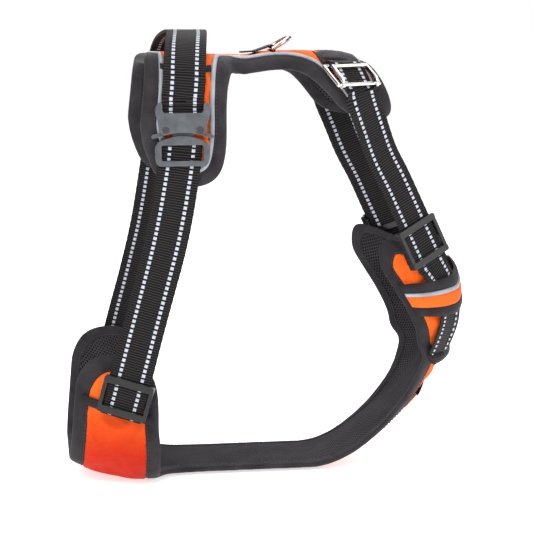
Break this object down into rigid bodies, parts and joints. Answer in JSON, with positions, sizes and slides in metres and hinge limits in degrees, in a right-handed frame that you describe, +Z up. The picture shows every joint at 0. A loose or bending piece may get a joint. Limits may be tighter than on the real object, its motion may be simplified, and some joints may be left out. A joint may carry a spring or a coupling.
{
  "type": "dog no-pull harness",
  "caption": "Padded dog harness with a back saddle, belly and chest panel, webbing straps with sliders, metal side buckles, carrying handle and leash rings on the back and chest.",
  "frame": {"origin": "on the middle plane, level with the underside of the belly panel, below the top leash ring's hinge", "axes": "+X towards the dog's head, +Y to the dog's left, +Z up"},
  "size_m": [0.3778, 0.205, 0.4107],
  "materials": {
    "orange_fabric": "woven, matte",
    "lining": "spacer mesh",
    "binding": "folded tape, satin",
    "reflective": "retroreflective tape",
    "webbing": "ribbed webbing with reflective stitching",
    "buckle_metal": "fine satin coat",
    "steel": "polished",
    "slider_plastic": "moulded, glossy"
  },
  "bodies": {
    "harness": {"belly_binding": "binding", "belly_cover": "orange_fabric", "belly_pad": "lining", "bib_roll": "binding", "chest_ring_tab": "webbing", "chest_sleeve": "binding", "far_belly_band": "binding", "far_chest_strap": "webbing", "far_girth_strap": "webbing", "far_neck_ring": "steel", "far_neck_strap": "webbing", "far_neck_tab": "webbing", "far_plug": "buckle_metal", "handle_keepers": "binding", "near_belly_band": "binding", "near_chest_strap": "webbing", "near_girth_strap": "webbing", "near_neck_ring": "steel", "near_neck_strap": "webbing", "near_neck_tab": "webbing", "near_plug": "buckle_metal", "saddle_binding": "binding", "saddle_cover": "orange_fabric", "saddle_pad": "lining", "saddle_piping": "reflective", "top_ring_tab": "webbing", "withers_band": "binding"},
    "handle": {"handle_strap": "webbing", "near_socket_front_plate": "buckle_metal", "near_socket_back_plate": "buckle_metal", "near_socket_bar": "steel", "near_socket_rivets": "steel", "near_lever_spring": "steel", "far_socket_front_plate": "buckle_metal", "far_socket_back_plate": "buckle_metal", "far_socket_bar": "steel", "far_socket_rivets": "steel", "far_lever_spring": "steel"},
    "top_ring": {"top_ring": "steel"},
    "chest_ring": {"chest_ring": "steel"},
    "near_lever_front": {"near_lever_front": "buckle_metal"},
    "near_lever_rear": {"near_lever_rear": "buckle_metal"},
    "near_girth_slider": {"near_girth_slider": "slider_plastic"},
    "near_neck_slider": {"near_neck_slider": "slider_plastic"},
    "near_neck_hook": {"near_neck_hook": "steel"},
    "far_lever_front": {"far_lever_front": "buckle_metal"},
    "far_lever_rear": {"far_lever_rear": "buckle_metal"},
    "far_girth_slider": {"far_girth_slider": "slider_plastic"},
    "far_neck_slider": {"far_neck_slider": "slider_plastic"},
    "far_neck_hook": {"far_neck_hook": "steel"}
  },
  "joints": [
    {"name": "handle_lift", "type": "slide", "parent": "harness", "child": "handle", "axis": [0, 0, 1], "range_m": [0, 0.022]},
    {"name": "near_lever_front_press", "type": "hinge", "parent": "handle", "child": "near_lever_front", "pos_m": [-0.0732, -0.098, 0.3233], "axis": [0, 1, 0], "range_deg": [0, 9], "stiffness_Nm_per_rad": 0.05},
    {"name": "near_lever_rear_press", "type": "hinge", "parent": "handle", "child": "near_lever_rear", "pos_m": [-0.1032, -0.098, 0.3233], "axis": [0, -1, 0], "range_deg": [0, 9], "stiffness_Nm_per_rad": 0.05},
    {"name": "near_girth_adjust", "type": "slide", "parent": "harness", "child": "near_girth_slider", "axis": [0.2622, -0.0091, 0.965], "range_m": [0, 0.06]},
    {"name": "near_neck_adjust", "type": "slide", "parent": "harness", "child": "near_neck_slider", "axis": [-0.4283, 0, 0.9036], "range_m": [0, 0.03]},
    {"name": "near_neck_hook_swing", "type": "hinge", "parent": "harness", "child": "near_neck_hook", "pos_m": [0.0722, -0.078, 0.3618], "axis": [0.9019, 0.4309, 0.0301], "range_deg": [0, 60]},
    {"name": "far_lever_front_press", "type": "hinge", "parent": "handle", "child": "far_lever_front", "pos_m": [-0.0732, 0.098, 0.3233], "axis": [0, 1, 0], "range_deg": [0, 9], "stiffness_Nm_per_rad": 0.05},
    {"name": "far_lever_rear_press", "type": "hinge", "parent": "handle", "child": "far_lever_rear", "pos_m": [-0.1032, 0.098, 0.3233], "axis": [0, -1, 0], "range_deg": [0, 9], "stiffness_Nm_per_rad": 0.05},
    {"name": "far_girth_adjust", "type": "slide", "parent": "harness", "child": "far_girth_slider", "axis": [0.2622, 0.0091, 0.965], "range_m": [0, 0.06]},
    {"name": "far_neck_adjust", "type": "slide", "parent": "harness", "child": "far_neck_slider", "axis": [-0.4283, 0, 0.9036], "range_m": [0, 0.03]},
    {"name": "far_neck_hook_swing", "type": "hinge", "parent": "harness", "child": "far_neck_hook", "pos_m": [0.0722, 0.078, 0.3618], "axis": [-0.9019, 0.4309, -0.0301], "range_deg": [0, 60]},
    {"name": "top_ring_swing", "type": "hinge", "parent": "harness", "child": "top_ring", "pos_m": [0.0036, 0, 0.3933], "axis": [0, -1, 0], "range_deg": [-24, 110]},
    {"name": "chest_ring_swing", "type": "hinge", "parent": "harness", "child": "chest_ring", "pos_m": [0.14266, 0, 0.06172], "axis": [0, -1, 0], "range_deg": [0, 120]}
  ]
}
